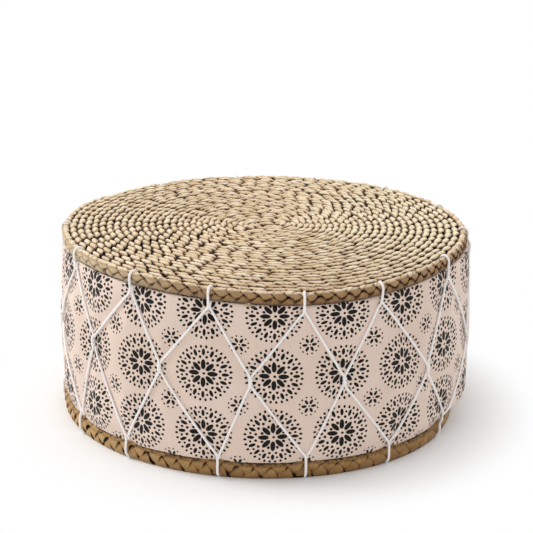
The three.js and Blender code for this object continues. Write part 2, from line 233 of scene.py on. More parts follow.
def ripple(x, seed, wavelength, size):
    """A smooth wavering line of about that wavelength, the same on each run."""
    dice = np.random.default_rng(seed)
    total = np.zeros_like(x)
    for octave in (0.7, 1.0, 1.37, 1.9):
        total += np.sin(TURN * x * octave / wavelength + dice.uniform(0, TURN)) / octave
    return size * total / 2


def shaped_grid(name, places, uv_size, close_ends=False, marks=None, uv_start=0.0, rows_at=None):
    """A grid with its points moved to places[column, row], its seams merged and, on a tube, its ends
    closed. marks gives named values from 0 to 1 on the points, for the material. rows_at gives the
    height of each row on the flat sheet, where they aren't even."""
    columns, rows = places.shape[0] - 1, places.shape[1] - 1
    bm = bmesh.new()
    bm.loops.layers.uv.new("UVMap")
    bmesh.ops.create_grid(bm, x_segments=columns, y_segments=rows, size=0.5, calc_uvs=True)
    mesh = bpy.data.meshes.new(name)
    bm.to_mesh(mesh)
    bm.free()
    flat = np.empty(len(mesh.vertices) * 3)
    mesh.vertices.foreach_get("co", flat)
    i = np.rint((flat[0::3] + 0.5) * columns).astype(int)
    j = np.rint((flat[1::3] + 0.5) * rows).astype(int)
    mesh.vertices.foreach_set("co", places[i, j].ravel())
    for mark, values in (marks or {}).items():
        layer = mesh.attributes.new(mark, "FLOAT", "POINT")
        layer.data.foreach_set("value", values[i, j].astype(np.float32))
    uv = np.empty(len(mesh.loops) * 2)
    mesh.uv_layers[0].data.foreach_get("uv", uv)
    uv[0::2] = uv_start + uv[0::2] * uv_size[0]
    if rows_at is None:
        uv[1::2] *= uv_size[1]
    else:
        uv[1::2] = np.interp(uv[1::2] * rows, np.arange(rows + 1), rows_at)
    mesh.uv_layers[0].data.foreach_set("uv", uv)
    bm = bmesh.new()
    bm.from_mesh(mesh)
    bmesh.ops.remove_doubles(bm, verts=bm.verts, dist=0.001 * MM)
    if close_ends:
        bmesh.ops.holes_fill(bm, edges=[e for e in bm.edges if e.is_boundary], sides=0)
    bmesh.ops.recalc_face_normals(bm, faces=bm.faces)
    bm.to_mesh(mesh)
    bm.free()
    mesh.shade_smooth()
    return new_object(name, mesh)


def smooth_step(x, low, high):
    """Rises smoothly from 0 at low to 1 at high."""
    share = np.clip((x - low) / (high - low), 0, 1)
    return share * share * (3 - 2 * share)


def frame_along(centre, through):
    """Squares the wanted thickness direction to the route, and gives the width direction with it."""
    tangent = unit(np.gradient(centre, axis=0))
    through = through - tangent * np.sum(through * tangent, axis=1, keepdims=True)
    through = unit(through)
    return unit(np.cross(tangent, through)), through


def lay_out(route, height, lowest, side, weave):
    """Steps along a braid's route, and what the braid is like at each of them."""
    s = lengths_along(route)
    # The rim, which is seen best, has the finest steps
    seen = s[-1] - LAST_TURN - CHANGE_OVER
    coarse = np.linspace(0, seen, int(seen / weave.step))
    even = np.concatenate([coarse[:-1], np.linspace(seen, s[-1], int((s[-1] - seen) / RIM_STEP))])
    middle = points_at(even, s, route)
    tangent = np.gradient(middle, axis=0)
    tangent[:, 2] = 0
    tangent = unit(tangent)
    rim = smooth_step(even, seen, seen + CHANGE_OVER)
    angle = np.arctan2(middle[:, 0], -middle[:, 1])
    radius = np.hypot(middle[:, 0], middle[:, 1])
    repeats = 1 / between(weave.repeat, weave.rim_repeat, rim)
    leaning = around(LEAN_BASE, angle)
    # The mat's first turns are plaited tightly; the looseness is all there 120 mm out
    loosened = around(LOOSE_MAT, angle) * np.clip(radius / (120 * MM), 0, 1) * (1 - rim)
    from_end = np.minimum(even, s[-1] - even)
    return SimpleNamespace(
        even=even,
        middle=middle,
        rim=rim,
        out=np.stack([-side * tangent[:, 1], side * tangent[:, 0], 0 * even], axis=1),
        height=np.interp(even, s, height),
        lowest=np.interp(even, s, lowest),
        laid=np.concatenate([[0.0], np.cumsum(np.diff(even) * (repeats[1:] + repeats[:-1]) / 2)]),
        loose=weave.loose * loosened,
        # Painted light: how much paler the leaf is made where more light falls on the mat and rim
        paler=between(around(PALE_MAT, angle) * radius / SEAT_OUTER, around(PALE_RIM, angle), rim),
        lean=weave.lean * leaning,
        apex=weave.apex * (leaning if weave.lean else 1),
        # The strands thin out over the last 12 mm of the braid
        fullness=between(0.25, 1, np.sqrt(np.minimum(from_end / (12 * MM), 1))),
    )


def plait(lay, weave, order):
    """One of a braid's three strands: its middle line, the ways across and through it, each divided by
    its half size there, and its skin."""
    even, rim = lay.even, lay.rim
    seed = weave.seed + order
    # Hand-made: all three strands drift together, and each a little by itself
    drift = ripple(even, weave.seed + 11, 0.43, 0.85) + ripple(even, 7 * seed + 40, 0.12, 0.16)
    phase = TURN * (lay.laid + order / 3) + drift
    # In the mat a strand comes up steeply and goes down gently, as shingles lie
    phase = phase + weave.shingled * np.sin(phase) * (1 - rim)
    sine, cosine = np.sin(phase), np.cos(phase)
    edge = sine**4
    # It is squeezed narrow just before it turns over the edge, on the rim only at the top
    squeezed = between(weave.waist, weave.rim_waist * (sine > 0), rim) + lay.loose
    waist = squeezed * hump(np.abs(sine) - 0.45, 0.25) * np.where(cosine > 0, 1, 1 - weave.shingled)
    fullness = lay.fullness * (1 + ripple(even, seed + 120, 0.05, 0.07))
    half_across = (between(weave.wide, weave.bead_wide, edge) * fullness * (1 - waist))[:, None]
    half_through = (between(weave.thin, weave.bead_thin, edge) * fullness)[:, None]
    # On the rim it comes out quickly from between the other two and goes in slowly to the edge
    quick = 1.28 * cosine * sine / np.hypot(sine, 0.25)
    outwards = between(np.sin(2 * phase), quick, rim)
    roll = math.pi / 2 * (1 - cosine)
    if weave.lean:
        # Seen a little from above: the strands that go down lie over most of the outer face
        outwards = (1 - lay.lean) * outwards - lay.lean * cosine
        roll = math.pi / 2 * (1 - np.sign(cosine) * (1 - np.abs(sine) ** 3))
    sway, lift = ripple(even, seed + 60, 0.045, 0.25 * MM), ripple(even, seed + 90, 0.033, 0.35 * MM)
    depth = BRAID_THICKNESS / 2 - weave.thin
    rise = (lay.height / 2 - weave.bead_thin) * sine + lay.apex * cosine**2 + lift
    centre = lay.middle + lay.out * (depth * outwards + sway)[:, None] + UP * rise[:, None]
    through = lay.out * np.cos(roll)[:, None] + UP * np.sin(roll)[:, None]
    across, through = frame_along(centre, through)
    # Its section lies between an oval and a rounded rectangle
    turn = np.linspace(0, TURN, weave.sides + 1)[None, :, None]
    squareness = 2 / between(weave.flatness, weave.rim_flatness, rim)[:, None, None]
    c, d = [np.sign(wave) * np.abs(wave) ** squareness for wave in (np.cos(turn), np.sin(turn))]
    skin = centre[:, None] + (across * half_across)[:, None] * c + (through * half_through)[:, None] * d
    return centre, across / half_across, through / half_through, skin


def pressed_together(lay, weave, strands, order):
    """A strand's points, dented where it meets the other two, and the marks for its material, which paint
    shade in its creases.
    """
    centre, _, _, skin = strands[order]
    # How near each point lies to the skin of the other two strands; 1 is on it
    nearest = np.full(skin.shape[:2], 9.0)
    for other, across, through, _ in strands[:order] + strands[order + 1 :]:
        wide, thick = [np.einsum("ijk,ik->ij", skin - other[:, None], way) for way in (across, through)]
        nearest = np.minimum(nearest, np.hypot(wide, thick))
    rim, middle, out = lay.rim[:, None], lay.middle[:, None], lay.out[:, None]
    # Near another strand it is dented, and the same mask paints a dark crease shade on it
    pressed_crease_shade = 1 - smooth_step(nearest, 0.95, between(weave.line, weave.rim_line, rim))
    places = centre[:, None] + (skin - centre[:, None]) * (1 - weave.dent * pressed_crease_shade)[:, :, None]
    places[:, :, 2] = np.maximum(places[:, :, 2], lay.lowest[:, None])
    outwards = np.einsum("ijk,ik->ij", places - middle, lay.out)
    # Its edges are pressed down on the outer face, which is rounded off at the floor
    rounded_foot = weave.foot_in * (1 - smooth_step(places[:, :, 2], 0, 6 * MM))
    proud = np.maximum(outwards - BRAID_THICKNESS / 2 - weave.proud + rounded_foot, 0) * rim
    places = places - out * proud[:, :, None]
    above = places[:, :, 2] - middle[:, :, 2]
    crest = lay.height[:, None] / 2
    # Painted shade in the groove between turns, except on the rim's open outer side
    open_side = 1 - rim * (outwards > 0)
    groove_shade = smooth_step(np.abs(outwards), 0.36 * weave.pitch, 0.47 * weave.pitch) * open_side
    face = smooth_step(outwards, 0.2 * MM, 2.6 * MM) * (1 - smooth_step(above - crest, -4 * MM, -1 * MM))
    # Painted shade along the rim's foot
    foot = smooth_step(-above, crest - 2.2 * MM, crest) * weave.foot_stain
    # Marks: painted dark shade in creases, grooves and along the rim's foot; painted soft shade near the
    # other strands (tucked); the rim's outer face; painted light (paler); and the depth below the crest
    return places, {
        "pressed_crease_shade": np.maximum(np.maximum(pressed_crease_shade, groove_shade), foot * rim),
        "tucked": 1 - smooth_step(nearest, 1.0, weave.shade),
        "outer_face": face * rim,
        "paler": np.broadcast_to(lay.paler[:, None], above.shape),
        "below_crest": np.clip(crest - above, 0, FULL_DEPTH) / FULL_DEPTH,
    }


def braid(name, route, height, lowest, side, weave):
    """Three strands plaited flat. Each climbs over one face, turns over the edge and comes back behind.
    lowest is the height of what it rests on. side is 1 or -1, for the hand of the route on which the
    outer face lies."""
    lay = lay_out(route, height, lowest, side, weave)
    strands = [plait(lay, weave, order) for order in range(3)]
    steps, parts = len(lay.even) - 1, weave.parts
    made = []
    for order in range(3):
        places, marks = pressed_together(lay, weave, strands, order)
        for part in range(parts):
            first, last = steps * part // parts, steps * (part + 1) // parts
            piece_name = f"{name}_{order + 1}" + ("" if parts == 1 else f"_{'abcdef'[part]}")
            here = slice(first, last + 1)
            size = (float(lay.even[last] - lay.even[first]), 4.2 * weave.wide)
            own_marks = {mark: values[here] for mark, values in marks.items()}
            made.append(shaped_grid(piece_name, places[here], size, True, own_marks, float(lay.even[first])))
    return made


def ride_as(piece, slot, *nodes):
    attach(piece, "root")
    if nodes:
        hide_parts(*nodes)


# ---- the two coils ----


def seat_route():
    """The seat's spiral. Its first turns lie along the fold that the mat was started from."""
    turns = (SEAT_RIM_MIDDLE - SEAT_STANDOFF) / SEAT_PITCH
    turn = np.linspace(0.12, turns, int(turns * ROUTE_STEPS))
    angle = SEAT_TAIL + TURN * (turns - turn)
    pinch = hump(to_nearest_loop(angle, TOP_JUNCTION) * SEAT_OUTER, 7 * MM)
    # A cord needs room behind the last turn; between the cords the eight turns next to it close up
    last = np.clip((turn - turns + 1) / 0.12, 0, 1)
    near_last = np.clip(1 - (turns - 1 - turn) / 8, 0, 1)
    standoff = SEAT_STANDOFF * between(near_last * (1 - pinch), 1, last)
    # The cords press on the last turn, and its tail is tucked in and down
    pinch = pinch * (turn > turns - 1)
    tail = np.clip((turn - turns + 0.03) / 0.03, 0, 1) ** 2
    radius = SEAT_PITCH * turn + standoff + 0.5 * MM * pinch - 3 * MM * tail
    # The mat is domed in the middle and follows the rim towards its edge
    near_edge = np.clip(radius / (219 * MM), 0, 1)
    top = STOOL_HEIGHT + around(RIM_TOP_LIFT, angle) * MM * near_edge**3 + 1.2 * MM * (1 - near_edge**4)
    top = top - 1.3 * MM * pinch
    foot = SEAT_UNDERSIDE + around(RIM_FOOT_LIFT, angle) * MM * smooth_step(radius, 206 * MM, 217 * MM)
    z = (top + foot) / 2 + ripple(turn, 5, 3.1, 0.3 * MM) - 2.5 * MM * tail
    points = rim_point(angle, radius, z)
    fold = 13 * MM * np.clip(1 - turn / 13, 0, 1) ** 1.3
    points[:, 0] += fold * np.sin(angle) + MAT_SHIFT
    return points, top - foot, foot - 0.2 * MM


def base_route():
    """The base's turns from the inside out, each nearly round, with a short shift behind. The last
    turn stands higher than the others, which lie under the board."""
    turn = np.linspace(0, BASE_TURNS - 0.04, ROUTE_STEPS * BASE_TURNS)
    angle = BASE_TAIL + TURN * turn
    inner = BASE_RIM_MIDDLE - BASE_STANDOFF - BASE_PITCH * (BASE_TURNS - 1)
    whole = np.floor(turn)
    shift = smooth_step(turn - whole, 0.9, 1.0)
    last = smooth_step(turn, BASE_TURNS - 1.1, BASE_TURNS - 1)
    radius = np.minimum(inner + BASE_PITCH * (whole + shift) + BASE_STANDOFF * last, BASE_RIM_MIDDLE)
    radius = radius - BASE_DRAWN_IN * near_right(angle) * (radius - inner) / (BASE_RIM_MIDDLE - inner)
    from_loop = to_nearest_loop(angle, BOTTOM_JUNCTION) * BASE_OUTER
    # The cords draw its upper edge up, and it sags between them
    rim_height = BASE_BRAID_HEIGHT + (3.4 * hump(from_loop, 17 * MM) + 1.2) * MM
    height = between(BASE_INNER_HEIGHT, rim_height, last)
    # Its lower strands are pressed flat on the floor, except over a cord
    lowest = FLOOR_GAP + 3.3 * MM * last * hump(from_loop, 3 * MM)
    return rim_point(angle, radius, height / 2 + 0.3 * MM - 4.2 * MM * last), height, lowest


# A weave repeats over a length, in steps along it. Its strands are wide and thin on the faces, and narrower
# and thicker as beads on the edges. line and shade are how far from another strand, in its own half sizes,
# the painted dark crease shade (and the dent) and the painted soft shade reach. The last value is how much
# shade is painted along the rim's foot.
seat_weave = SimpleNamespace(
    seed=0, parts=2, sides=12, pitch=SEAT_PITCH, step=1.65 * MM, repeat=52 * MM, rim_repeat=44 * MM,
    wide=4.8 * MM, thin=1.4 * MM, bead_wide=3.85 * MM, bead_thin=2.4 * MM, flatness=2.8, rim_flatness=2.1,
    apex=-1.0 * MM, lean=0, foot_in=0, proud=9 * MM, shingled=0.36, waist=0.3, rim_waist=0.2, loose=0.3,
    dent=0.13, line=1.3, rim_line=1.95, shade=2.2, foot_stain=0.75,
)
base_weave = SimpleNamespace(
    seed=500, parts=1, sides=14, pitch=BASE_PITCH, step=2.2 * MM, repeat=52 * MM, rim_repeat=52 * MM,
    wide=7.0 * MM, thin=1.8 * MM, bead_wide=3.8 * MM, bead_thin=2.2 * MM, flatness=3.2, rim_flatness=2.2,
    apex=1.8 * MM, lean=0.22, foot_in=2.8 * MM, proud=0.5 * MM, shingled=0, waist=0, rim_waist=0, loose=0,
    dent=0.16, line=1.13, rim_line=1.5, shade=1.9, foot_stain=0,
)
seat_strands = braid("seat_braid_strand", *seat_route(), 1, seat_weave)
base_strands = braid("base_braid_strand", *base_route(), -1, base_weave)
for strand in seat_strands:
    ride_as(strand, "seat_braid", "seat_coil")
for strand in base_strands:
    ride_as(strand, "base_braid", "base_coil")


# ---- cotton cover and wadding ----

# The cloth's two edges, its radius under the cords at each of them, and how far it stands out between cords
CLOTH_TOP = 186.5 * MM
CLOTH_BOTTOM = 17.2 * MM
VALLEY_TOP = 217.3 * MM
VALLEY_BOTTOM = 220.9 * MM
QUILT = 3.9 * MM
SEAM_ANGLE = FIRST_LOOP + 5 * LACE_CELL


def valley_radius(angle, z):
    """How far out the cloth lies under a cord. The drum bulges towards +X, except at its foot."""
    share = np.clip((CLOTH_TOP - z) / (CLOTH_TOP - CLOTH_BOTTOM), 0, 1)
    bulge = 5.2 * MM * near_right(angle) * (1 - share**16)
    tucked_in = 2.4 * MM * smooth_step(share, 0.9, 1.0)
    tucked_in = tucked_in + BASE_DRAWN_IN * near_right(angle) * smooth_step(share, 0.92, 1.0)
    # On the -X side its foot stands back behind the base braid
    tucked_in = tucked_in + 3.5 * MM * near_right(angle + TURN / 2) * smooth_step(share, 0.6, 0.9)
    barrel = 1.3 * MM * (1 - np.abs(2 * share - 1) ** 3)
    return between(VALLEY_TOP, VALLEY_BOTTOM, share) + barrel + bulge - tucked_in


def follow_rim(angle, z):
    """Moves a height near the cloth's upper edge with the foot of the rim."""
    start = 120 * MM
    return z + around(RIM_FOOT_LIFT, angle) * MM * np.clip((z - start) / (CLOTH_TOP - start), 0, 1) ** 2


def cloth_radius(angle, z):
    """The cloth is drawn in under the cords and stands out between them."""
    cell, rise = lattice_at(angle, z)
    which = np.rint(cell)
    side = (cell - which) * LACE_CELL * DRUM_RADIUS
    half_width, half_height = LACE_CELL * DRUM_RADIUS / 2, LATTICE_HEIGHT / 2
    x, y = np.abs(side), np.abs(rise - 0.5) * LATTICE_HEIGHT
    to_arm = np.abs(x / half_width + y / half_height - 1) / math.hypot(1 / half_width, 1 / half_height)
    to_leg = np.hypot(x, np.maximum(half_height - y, 0))
    puff = 1 - np.exp(-((np.minimum(to_arm, to_leg) / (15 * MM)) ** 1.5))
    to_edge = np.minimum(CLOTH_TOP - z, (z - CLOTH_BOTTOM) * 1.6)
    held = between(0.45, 1, np.clip(to_edge / (26 * MM), 0, 1) ** 0.8)
    # Small drawn folds run out from the places where the cords meet
    far, spread = np.hypot(side, half_height - y), np.arctan2(side, half_height - y)
    pull = 0.55 * MM * np.exp(-far / (20 * MM)) * np.clip(far / (5 * MM), 0, 1)
    folds = pull * np.cos(6.5 * spread + 2.1 * which)
    arc = angle * DRUM_RADIUS
    slack = ripple(arc + 0.35 * z, 21, 0.061, 0.22 * MM) + ripple(arc - 0.9 * z, 22, 0.038, 0.1 * MM)
    return valley_radius(angle, z) + QUILT * puff * held + folds + slack


def make_cover():
    """One tube of cotton: a turned hem at the foot, and its top tucked in under the seat rim."""
    # Height and step outwards
    profile = np.array([
        (CLOTH_BOTTOM + 7 * MM, -2.6 * MM),
        (CLOTH_BOTTOM + 1.2 * MM, -2.2 * MM),
        (CLOTH_BOTTOM, -1.1 * MM),
        (CLOTH_BOTTOM + 0.6 * MM, -0.2 * MM),
        (CLOTH_BOTTOM + 3 * MM, 0),
        (CLOTH_TOP - 3 * MM, 0),
        (CLOTH_TOP - 0.4 * MM, -0.7 * MM),
        (CLOTH_TOP, -2.4 * MM),
        (CLOTH_TOP - 0.4 * MM, -6 * MM),
    ])
    run = lengths_along(profile)
    # Most rows lie on the open side, a few on each turned edge
    share = np.concatenate([
        np.linspace(0, run[4], 9)[:-1],
        np.linspace(run[4], run[5], 61)[:-1],
        np.linspace(run[5], run[-1], 8),
    ])
    u = np.linspace(0, 1, 561)[:, None]
    z, inset = [np.interp(share, run, profile[:, k])[None, :] for k in (0, 1)]
    angle = SEAM_ANGLE + TURN * u
    seam = 0.7 * MM * hump(np.minimum(u, 1 - u) * TURN * DRUM_RADIUS, 1.3 * MM)
    radius = cloth_radius(angle, np.clip(z, CLOTH_BOTTOM, CLOTH_TOP)) + inset - seam
    places = rim_point(angle, radius, follow_rim(angle, z))
    cover = shaped_grid("cotton_cover", places, (TURN * DRUM_RADIUS, float(run[-1])), rows_at=share)
    cloth = cover.modifiers.new("cloth thickness", "SOLIDIFY")
    cloth.thickness = 0.8 * MM
    cloth.offset = -1
    return cover, float(run[-1])


cotton_cover, cover_drop = make_cover()
ride_as(cotton_cover, "printed_cotton", "side_cover")


def make_wadding():
    """A soft ring under the cloth, crowned where the cloth stands out and drawn in at top and foot."""
    low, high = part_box("side_pad")
    inner = 204.3 * MM
    angle = np.linspace(0, TURN, 337)[:, None]
    v = np.linspace(0, 1, 101)[None, :]
    # Once round the section: out along the foot, up the outer side, in along the top and back
    run = [0, 0.08, 0.5, 0.58, 1.0]
    across, tall = np.interp(v, run, [0, 1, 1, 0, 0]), np.interp(v, run, [0, 0, 1, 1, 0])
    z = between(low.z + 0.5 * MM, high.z - 0.5 * MM, tall)
    rounding = 1 - 0.12 * np.abs(2 * tall - 1) ** 12
    radius = between(inner, cloth_radius(angle, z) - 2.2 * MM, across * rounding)
    radius = radius + ripple(angle + 3 * v, 33, 0.21, 0.2 * MM) * (across < 0.5)
    z = np.minimum(z, follow_rim(angle, z))
    return shaped_grid("wadding_ring", rim_point(angle, radius, z), (TURN * DRUM_RADIUS, 0.35))


wadding = make_wadding()
ride_as(wadding, "wadding", "side_pad")


# ---- lacing cords ----


def seat_rim_at(angle):
    """Radii of the last turn's middle, its outer face and the gap behind it, where the cords go."""
    back = ((angle - SEAT_TAIL) % TURN) / TURN
    middle = SEAT_RIM_MIDDLE - SEAT_PITCH * back
    middle = middle + MAT_SHIFT * math.sin(angle)
    return middle, middle + SEAT_PITCH / 2, middle - (SEAT_PITCH + SEAT_STANDOFF) / 2


def base_rim_at(angle):
    """The same radii for the base."""
    middle = BASE_RIM_MIDDLE - BASE_DRAWN_IN * near_right(angle)
    return middle, middle + BASE_HALF_THICKNESS, middle - (BASE_PITCH + BASE_STANDOFF) / 2


def rim_loop(cell, at_top):
    """A cord's points up the outer face and over the free edge, then back behind the last turn, and out
    again under the braid, and the radius of the gap behind. The base's loop is the same upside down."""
    angle, junction_z = [float(v) for v in lace_place(cell, 1.0 if at_top else 0.0)]
    middle, face, gap = seat_rim_at(angle) if at_top else base_rim_at(angle)
    edge_z = seat_top_at(angle) - 1.3 * MM if at_top else LACE_ROOM
    inner_z = seat_foot_at(angle) if at_top else LACE_ROOM + BRAID_HEIGHT
    outward = 1 if at_top else -1
    half = CORD / 2
    touch = face + half + 0.15 * MM
    brim = valley_radius(angle, np.clip(inner_z, CLOTH_BOTTOM, CLOTH_TOP)) + half
    on_cloth = valley_radius(angle, junction_z) + 0.8 * half
    reach = max(touch - 0.8 * MM, brim, on_cloth + half)
    side = half * 0.9
    over = edge_z + outward * (0.8 if at_top else 1.5) * MM
    halfway = (junction_z + inner_z) / 2
    # Radius, height and step sideways of each point
    arriving = [
        (on_cloth + half, junction_z, -0.35 * side),
        (reach, halfway, -0.15 * side),
        (touch, inner_z + outward * 4 * MM, -0.1 * side),
        (touch + 0.2 * MM, (inner_z + edge_z) / 2 + outward * 2 * MM, -0.1 * side),
        (touch - 0.4 * MM, edge_z - outward * 2.2 * MM, -0.1 * side),
        (middle + 2.2 * MM, over, 0),
        (middle - 1.6 * MM, over, 0.6 * side),
        (gap, edge_z - outward * 2.6 * MM, side),
    ]
    behind = [
        (gap, inner_z + outward * 2 * MM, side),
        (gap + 2.2 * MM, inner_z - outward * 1.7 * MM, side),
        (middle + 2 * MM, inner_z - outward * 1.9 * MM, side),
    ]
    leaving = [(on_cloth - 0.3 * MM, halfway, 0.9 * side), (on_cloth, junction_z, 0.8 * side)]
    return *[[rim_point(angle, *place) for place in part] for part in (arriving, behind, leaving)], gap


def arm(first, last):
    """A taut stretch from one angle, height and step sideways to another, half sunk in the cloth."""
    angle, z, sideways = [np.linspace(start, end, 11)[1:-1] for start, end in zip(first, last)]
    return list(rim_point(angle, valley_radius(angle, z) + 0.42 * CORD, z, sideways))


def twisted_node(cell, falling):
    """One and a half turns of the two cords round each other, halfway up: where the cord comes in, its
    points, and where it goes out."""
    angle, height = lace_place(cell + 0.5, 0.5)
    front = 1 if falling else -1
    share = np.linspace(0, 1, 25)
    turn = 3 * math.pi * share
    grip = 0.3 * CORD + 0.14 * CORD * np.abs(2 * share - 1) ** 2
    sideways = -grip * np.cos(turn) * 1.05
    settle = 0.55 * CORD * np.abs(2 * share - 1) ** 3
    radius = valley_radius(angle, height) + 0.93 * CORD + front * grip * np.sin(turn) - settle
    z = height + front * TWIST_HEIGHT * (0.5 - share)
    coming, going = [(angle, z[end], sideways[end]) for end in (0, -1)]
    return coming, list(rim_point(angle, radius, z, sideways)), going


def lacing_route(knot_cell, knot_place):
    """A cord's points: from the knot, down and up all round the drum, and back to the knot."""
    _, _, leaving, _ = rim_loop(knot_cell, True)
    start_angle = lace_place(knot_cell, 1.0)[0]
    knot_z, side = SEAT_UNDERSIDE - 2.2 * MM, 0.45 * CORD
    points = [rim_point(start_angle, knot_place + 3.2 * MM, knot_z, 0.5 * CORD), *leaving]
    for step in range(LACE_CELLS):
        falling = step % 2 == 0
        cell = knot_cell + step
        here, there = lace_place(cell, 1.0 if falling else 0.0), lace_place(cell + 1, 0.0 if falling else 1.0)
        coming, crossing, going = twisted_node(cell, falling)
        arriving, behind, leaving, gap = rim_loop(cell + 1, not falling)
        points += arm((*here, 0.8 * side), coming) + crossing + arm(going, (*there, -0.35 * side)) + arriving
        if step < LACE_CELLS - 1:
            points += behind + leaving
    points += [
        rim_point(start_angle, gap, SEAT_UNDERSIDE + 3 * MM, 0.5 * CORD),
        rim_point(start_angle, knot_place, knot_z - 0.3 * MM, 0.5 * CORD),
    ]
    return np.array(points)


def rounded(points, spacing):
    """A smooth line through the points, in even steps."""
    knots = np.concatenate([[0], np.cumsum(np.sqrt(np.linalg.norm(np.diff(points, axis=0), axis=1)))])
    padded = np.vstack([2 * points[0] - points[1], points, 2 * points[-1] - points[-2]])
    marks = np.concatenate([[-knots[1]], knots, [2 * knots[-1] - knots[-2]]])
    parts = []
    for i in range(1, len(padded) - 2):
        near, t = padded[i - 1 : i + 3], marks[i - 1 : i + 3]
        at = np.linspace(t[1], t[2], 9)[:-1, None]

        def towards(first, last, a, b):
            return between(first, last, (at - t[a]) / (t[b] - t[a]))

        lines = [towards(near[k], near[k + 1], k, k + 1) for k in range(3)]
        bends = [towards(lines[k], lines[k + 1], k, k + 2) for k in range(2)]
        parts.append(towards(*bends, 1, 2))
    fine = np.vstack([*parts, points[-1:]])
    s = lengths_along(fine)
    return points_at(np.linspace(0, s[-1], max(int(s[-1] / spacing), 2)), s, fine)


def plied_cord(name, line, radius, lay=9 * MM):
    """A soft three-ply cotton cord: three low ridges wind round it once in every lay."""
    tangent = unit(np.gradient(line, axis=0))
    through = np.zeros_like(line)
    seed = np.array([0.0, 0.0, 1.0]) if abs(tangent[0, 2]) < 0.8 else np.array([1.0, 0.0, 0.0])
    for i in range(len(line)):
        seed = seed - tangent[i] * np.dot(seed, tangent[i])
        seed = seed / np.linalg.norm(seed)
        through[i] = seed
    across = np.cross(tangent, through)
    s = lengths_along(line)
    ends = 0.3 + 0.7 * np.sqrt(np.minimum(np.minimum(s, s[-1] - s) / (2 * MM), 1))
    thick = radius * (1 + ripple(s, 77, 0.03, 0.03)) * ends
    turn = np.linspace(0, TURN, 13)[None, :]
    size = (thick[:, None] * (0.965 + 0.035 * np.cos(3 * (turn - TURN * s[:, None] / lay))))[:, :, None]
    wide = across[:, None, :] * np.cos(turn)[:, :, None]
    places = line[:, None, :] + size * (wide + through[:, None, :] * np.sin(turn)[:, :, None])
    # Under the base the cord is pressed flat on the floor
    places[:, :, 2] = np.maximum(places[:, :, 2], FLOOR_GAP)
    return shaped_grid(name, places, (float(s[-1]), TURN * radius), close_ends=True)


def cord_knot(name, node):
    """An overhand knot, drawn tight."""
    low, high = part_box(node)
    middle = np.array((low + high) / 2)
    t = np.linspace(0.25, TURN - 0.25, 90)
    x, y = np.sin(t) + 2 * np.sin(2 * t), np.cos(t) - 2 * np.cos(2 * t)
    loop = np.stack([x, y, -1.15 * np.sin(3 * t)], axis=1)
    return plied_cord(name, middle + 0.86 * MM * loop, 1.25 * MM)


cords = []
for letter, cell in (("a", 6), ("b", 7)):
    low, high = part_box("lacing_knot_" + letter)
    knot_place = math.hypot((low.x + high.x) / 2, (low.y + high.y) / 2)
    line = rounded(lacing_route(cell, knot_place), 1.15 * MM)
    cord = plied_cord("laced_cord_" + letter, line, 1.38 * MM)
    ride_as(cord, "cotton_cord", "lacing_cord_" + letter)
    knot = cord_knot("tied_knot_" + letter, "lacing_knot_" + letter)
    ride_as(knot, "cotton_cord", "lacing_knot_" + letter)
    cords += [cord, knot]
    print("length of lacing cord", letter, "in metres:", round(float(lengths_along(line)[-1]), 3))


# ---- loose fibre ends ----


def loose_fibres():
    """Short ends of fibre that stand out of the seat and its rim."""
    dice = np.random.default_rng(14)
    curve = bpy.data.curves.new("loose_fibres", "CURVE")
    curve.dimensions = "3D"
    curve.bevel_depth = 0.16 * MM
    curve.bevel_resolution = 0
    for number in range(180):
        torn = number < 26
        on_rim = torn or dice.uniform() < 0.45
        angle = dice.uniform(0, TURN)
        lean = dice.uniform(-1, 1)
        length = dice.uniform(4, 11) * MM
        out = dice.uniform(0.12, 0.35) if on_rim else dice.uniform(-0.5, 0.5)
        rise = dice.uniform(-0.2, 0.25) if on_rim else dice.uniform(0.08, 0.28)
        low = dice.uniform(1, 12) * MM if on_rim else 0.5 * MM
        if torn:
            # The frayed end of one strand hangs out under the rim, a little left of the middle
            angle = -0.068 + dice.uniform(-0.009, 0.009)
            lean, rise, low = dice.uniform(0.1, 0.9), dice.uniform(-0.7, -0.2), dice.uniform(11.5, 13.5) * MM
            length = dice.uniform(2.5, 6) * MM
        rim = seat_rim_at(angle)[1]
        radius = rim - 0.5 * MM if on_rim else rim * math.sqrt(dice.uniform(0.02, 0.96))
        z = STOOL_HEIGHT + around(RIM_TOP_LIFT, angle) * MM * (radius / rim) ** 3 - low
        spline = curve.splines.new("POLY")
        spline.points.add(4)
        for k in range(5):
            far = length * k / 4
            bow = far * k / 4
            place = rim_point(angle, radius + out * far, z + rise * far - 0.15 * bow, lean * far + 0.2 * bow)
            spline.points[k].co = (*place, 1)
            spline.points[k].radius = 1 - 0.17 * k
    made = new_object("loose_fibres", curve)
    bpy.context.view_layer.update()
    mesh = bpy.data.meshes.new_from_object(made)
    bpy.data.objects.remove(made)
    return new_object("loose_fibres", mesh)


fibres = loose_fibres()
ride_as(fibres, "seat_braid")


# ---- materials ----


def linear(hex_colour):
    """An sRGB hex colour as linear RGBA."""
    parts = [int(hex_colour[i : i + 2], 16) / 255 for i in (1, 3, 5)]
    return (*[c / 12.92 if c <= 0.04045 else ((c + 0.055) / 1.055) ** 2.4 for c in parts], 1.0)


def set_inputs(node, inputs):
    """Sets a node's inputs, given in order or by name or number: to a value, or with a link from an
    output or from the first output in use of a node."""
    for name, value in inputs.items() if isinstance(inputs, dict) else enumerate(inputs):
        if isinstance(value, bpy.types.Node):
            value = next(output for output in value.outputs if output.enabled)
        if isinstance(value, bpy.types.NodeSocket):
            node.id_data.links.new(value, node.inputs[name])
        else:
            node.inputs[name].default_value = value


